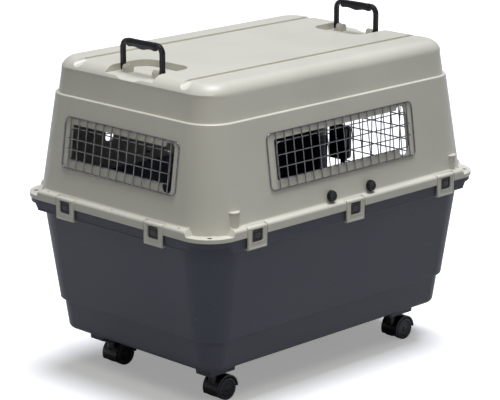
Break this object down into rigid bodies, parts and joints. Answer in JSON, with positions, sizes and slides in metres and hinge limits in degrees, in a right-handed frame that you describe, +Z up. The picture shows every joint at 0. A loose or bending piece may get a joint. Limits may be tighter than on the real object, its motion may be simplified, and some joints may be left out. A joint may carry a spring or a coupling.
{
  "type": "wheeled pet travel crate",
  "caption": "Large wheeled pet travel crate: moulded tub and shell held by sliding rim latches, wire grilles, a hinged wire door, folding handles and swivel casters.",
  "frame": {"origin": "on the floor, under the middle of the crate's rim", "axes": "+Z up; Y along the crate's length with the door at -Y; X across its width"},
  "size_m": [0.733, 1.043, 0.916],
  "materials": {
    "shell_plastic": "cream, satin moulded",
    "tub_plastic": "dark blue-grey, satin moulded",
    "black_plastic": "black, satin",
    "wheel_plastic": "black, satin",
    "wire": "dull grey wire",
    "steel": "plain steel"
  },
  "bodies": {
    "crate": {"lower_tub": "tub_plastic", "upper_shell": "shell_plastic", "grille_left": "wire", "grille_right": "wire", "grille_rear": "wire", "caster_stem_front_left": "steel", "caster_stem_front_right": "steel", "caster_stem_rear_left": "steel", "caster_stem_rear_right": "steel"},
    "door": {"door_panel": "wire", "door_latch_housing": "black_plastic", "door_latch_plate": "black_plastic"},
    "lock_bar_upper": {"door_lock_bar_upper": "black_plastic"},
    "lock_bar_lower": {"door_lock_bar_lower": "black_plastic"},
    "handle_rear": {"handle_rear": "black_plastic"},
    "handle_front": {"handle_front": "black_plastic"},
    "latch_clip_rear_a": {"latch_clip_rear_a": "shell_plastic"},
    "latch_button_rear_a": {"latch_button_rear_a": "black_plastic"},
    "latch_clip_rear_c": {"latch_clip_rear_c": "shell_plastic"},
    "latch_button_rear_c": {"latch_button_rear_c": "black_plastic"},
    "latch_clip_left_a": {"latch_clip_left_a": "shell_plastic"},
    "latch_button_left_a": {"latch_button_left_a": "black_plastic"},
    "latch_clip_left_b": {"latch_clip_left_b": "shell_plastic"},
    "latch_button_left_b": {"latch_button_left_b": "black_plastic"},
    "latch_clip_left_c": {"latch_clip_left_c": "shell_plastic"},
    "latch_button_left_c": {"latch_button_left_c": "black_plastic"},
    "latch_clip_right_a": {"latch_clip_right_a": "shell_plastic"},
    "latch_button_right_a": {"latch_button_right_a": "black_plastic"},
    "latch_clip_right_b": {"latch_clip_right_b": "shell_plastic"},
    "latch_button_right_b": {"latch_button_right_b": "black_plastic"},
    "latch_clip_right_c": {"latch_clip_right_c": "shell_plastic"},
    "latch_button_right_c": {"latch_button_right_c": "black_plastic"},
    "knob_left_a": {"knob_left_a": "black_plastic"},
    "knob_left_b": {"knob_left_b": "black_plastic"},
    "knob_right_a": {"knob_right_a": "black_plastic"},
    "knob_right_b": {"knob_right_b": "black_plastic"},
    "caster_front_left": {"caster_hood_front_left": "black_plastic", "caster_axle_front_left": "steel"},
    "wheel_front_left_left": {"caster_wheel_front_left_left": "wheel_plastic"},
    "wheel_front_left_right": {"caster_wheel_front_left_right": "wheel_plastic"},
    "caster_front_right": {"caster_hood_front_right": "black_plastic", "caster_axle_front_right": "steel"},
    "wheel_front_right_left": {"caster_wheel_front_right_left": "wheel_plastic"},
    "wheel_front_right_right": {"caster_wheel_front_right_right": "wheel_plastic"},
    "caster_rear_left": {"caster_hood_rear_left": "black_plastic", "caster_axle_rear_left": "steel"},
    "wheel_rear_left_left": {"caster_wheel_rear_left_left": "wheel_plastic"},
    "wheel_rear_left_right": {"caster_wheel_rear_left_right": "wheel_plastic"},
    "caster_rear_right": {"caster_hood_rear_right": "black_plastic", "caster_axle_rear_right": "steel"},
    "wheel_rear_right_left": {"caster_wheel_rear_right_left": "wheel_plastic"},
    "wheel_rear_right_right": {"caster_wheel_rear_right_right": "wheel_plastic"}
  },
  "joints": [
    {"name": "door_hinge", "type": "hinge", "parent": "crate", "child": "door", "pos_m": [-0.18975, -0.4885, 0.48], "axis": [0, 0, -1], "range_deg": [0, 110]},
    {"name": "lock_bar_upper_slide", "type": "slide", "parent": "door", "child": "lock_bar_upper", "axis": [0, 0, 1], "range_m": [0, 0.01]},
    {"name": "lock_bar_lower_slide", "type": "slide", "parent": "door", "child": "lock_bar_lower", "axis": [0, 0, -1], "range_m": [0, 0.01]},
    {"name": "handle_rear_hinge", "type": "hinge", "parent": "crate", "child": "handle_rear", "pos_m": [0, 0.397, 0.8375], "axis": [1, 0, 0], "range_deg": [0, 90]},
    {"name": "handle_front_hinge", "type": "hinge", "parent": "crate", "child": "handle_front", "pos_m": [0, -0.397, 0.8375], "axis": [-1, 0, 0], "range_deg": [0, 90]},
    {"name": "latch_clip_rear_a_slide", "type": "slide", "parent": "crate", "child": "latch_clip_rear_a", "axis": [1, 0, 0], "range_m": [0, 0.005]},
    {"name": "latch_button_rear_a_press", "type": "slide", "parent": "latch_clip_rear_a", "child": "latch_button_rear_a", "axis": [0, -1, 0], "range_m": [0, 0.003], "stiffness_N_per_m": 400, "springref_m": -0.002},
    {"name": "latch_clip_rear_c_slide", "type": "slide", "parent": "crate", "child": "latch_clip_rear_c", "axis": [1, 0, 0], "range_m": [0, 0.005]},
    {"name": "latch_button_rear_c_press", "type": "slide", "parent": "latch_clip_rear_c", "child": "latch_button_rear_c", "axis": [0, -1, 0], "range_m": [0, 0.003], "stiffness_N_per_m": 400, "springref_m": -0.002},
    {"name": "latch_clip_left_a_slide", "type": "slide", "parent": "crate", "child": "latch_clip_left_a", "axis": [0, -1, 0], "range_m": [0, 0.005]},
    {"name": "latch_button_left_a_press", "type": "slide", "parent": "latch_clip_left_a", "child": "latch_button_left_a", "axis": [1, 0, 0], "range_m": [0, 0.003], "stiffness_N_per_m": 400, "springref_m": -0.002},
    {"name": "latch_clip_left_b_slide", "type": "slide", "parent": "crate", "child": "latch_clip_left_b", "axis": [0, -1, 0], "range_m": [0, 0.005]},
    {"name": "latch_button_left_b_press", "type": "slide", "parent": "latch_clip_left_b", "child": "latch_button_left_b", "axis": [1, 0, 0], "range_m": [0, 0.003], "stiffness_N_per_m": 400, "springref_m": -0.002},
    {"name": "latch_clip_left_c_slide", "type": "slide", "parent": "crate", "child": "latch_clip_left_c", "axis": [0, -1, 0], "range_m": [0, 0.005]},
    {"name": "latch_button_left_c_press", "type": "slide", "parent": "latch_clip_left_c", "child": "latch_button_left_c", "axis": [1, 0, 0], "range_m": [0, 0.003], "stiffness_N_per_m": 400, "springref_m": -0.002},
    {"name": "latch_clip_right_a_slide", "type": "slide", "parent": "crate", "child": "latch_clip_right_a", "axis": [0, 1, 0], "range_m": [0, 0.005]},
    {"name": "latch_button_right_a_press", "type": "slide", "parent": "latch_clip_right_a", "child": "latch_button_right_a", "axis": [-1, 0, 0], "range_m": [0, 0.003], "stiffness_N_per_m": 400, "springref_m": -0.002},
    {"name": "latch_clip_right_b_slide", "type": "slide", "parent": "crate", "child": "latch_clip_right_b", "axis": [0, 1, 0], "range_m": [0, 0.005]},
    {"name": "latch_button_right_b_press", "type": "slide", "parent": "latch_clip_right_b", "child": "latch_button_right_b", "axis": [-1, 0, 0], "range_m": [0, 0.003], "stiffness_N_per_m": 400, "springref_m": -0.002},
    {"name": "latch_clip_right_c_slide", "type": "slide", "parent": "crate", "child": "latch_clip_right_c", "axis": [0, 1, 0], "range_m": [0, 0.005]},
    {"name": "latch_button_right_c_press", "type": "slide", "parent": "latch_clip_right_c", "child": "latch_button_right_c", "axis": [-1, 0, 0], "range_m": [0, 0.003], "stiffness_N_per_m": 400, "springref_m": -0.002},
    {"name": "knob_left_a_turn", "type": "hinge", "parent": "crate", "child": "knob_left_a", "pos_m": [-0.34256, 0.074, 0.5175], "axis": [-0.9905, 0, 0.1372], "continuous": true},
    {"name": "knob_left_b_turn", "type": "hinge", "parent": "crate", "child": "knob_left_b", "pos_m": [-0.34256, -0.074, 0.5175], "axis": [-0.9905, 0, 0.1372], "continuous": true},
    {"name": "knob_right_a_turn", "type": "hinge", "parent": "crate", "child": "knob_right_a", "pos_m": [0.34256, -0.074, 0.5175], "axis": [0.9905, 0, 0.1372], "continuous": true},
    {"name": "knob_right_b_turn", "type": "hinge", "parent": "crate", "child": "knob_right_b", "pos_m": [0.34256, 0.074, 0.5175], "axis": [0.9905, 0, 0.1372], "continuous": true},
    {"name": "caster_front_left_swivel", "type": "hinge", "parent": "crate", "child": "caster_front_left", "pos_m": [-0.1932, -0.3441, 0.03], "axis": [0, 0, 1], "continuous": true},
    {"name": "wheel_front_left_left_roll", "type": "hinge", "parent": "caster_front_left", "child": "wheel_front_left_left", "pos_m": [-0.1932, -0.3701, 0.03], "axis": [1, 0, 0], "continuous": true},
    {"name": "wheel_front_left_right_roll", "type": "hinge", "parent": "caster_front_left", "child": "wheel_front_left_right", "pos_m": [-0.1932, -0.3701, 0.03], "axis": [1, 0, 0], "continuous": true},
    {"name": "caster_front_right_swivel", "type": "hinge", "parent": "crate", "child": "caster_front_right", "pos_m": [0.1932, -0.3441, 0.03], "axis": [0, 0, 1], "continuous": true},
    {"name": "wheel_front_right_left_roll", "type": "hinge", "parent": "caster_front_right", "child": "wheel_front_right_left", "pos_m": [0.1932, -0.3701, 0.03], "axis": [1, 0, 0], "continuous": true},
    {"name": "wheel_front_right_right_roll", "type": "hinge", "parent": "caster_front_right", "child": "wheel_front_right_right", "pos_m": [0.1932, -0.3701, 0.03], "axis": [1, 0, 0], "continuous": true},
    {"name": "caster_rear_left_swivel", "type": "hinge", "parent": "crate", "child": "caster_rear_left", "pos_m": [-0.1932, 0.3441, 0.03], "axis": [0, 0, 1], "continuous": true},
    {"name": "wheel_rear_left_left_roll", "type": "hinge", "parent": "caster_rear_left", "child": "wheel_rear_left_left", "pos_m": [-0.1932, 0.3181, 0.03], "axis": [1, 0, 0], "continuous": true},
    {"name": "wheel_rear_left_right_roll", "type": "hinge", "parent": "caster_rear_left", "child": "wheel_rear_left_right", "pos_m": [-0.1932, 0.3181, 0.03], "axis": [1, 0, 0], "continuous": true},
    {"name": "caster_rear_right_swivel", "type": "hinge", "parent": "crate", "child": "caster_rear_right", "pos_m": [0.1932, 0.3441, 0.03], "axis": [0, 0, 1], "continuous": true},
    {"name": "wheel_rear_right_left_roll", "type": "hinge", "parent": "caster_rear_right", "child": "wheel_rear_right_left", "pos_m": [0.1932, 0.3181, 0.03], "axis": [1, 0, 0], "continuous": true},
    {"name": "wheel_rear_right_right_roll", "type": "hinge", "parent": "caster_rear_right", "child": "wheel_rear_right_right", "pos_m": [0.1932, 0.3181, 0.03], "axis": [1, 0, 0], "continuous": true}
  ],
  "couplings": [
    {"joint": "lock_bar_lower_slide", "follows": "lock_bar_upper_slide", "ratio": 1}
  ]
}
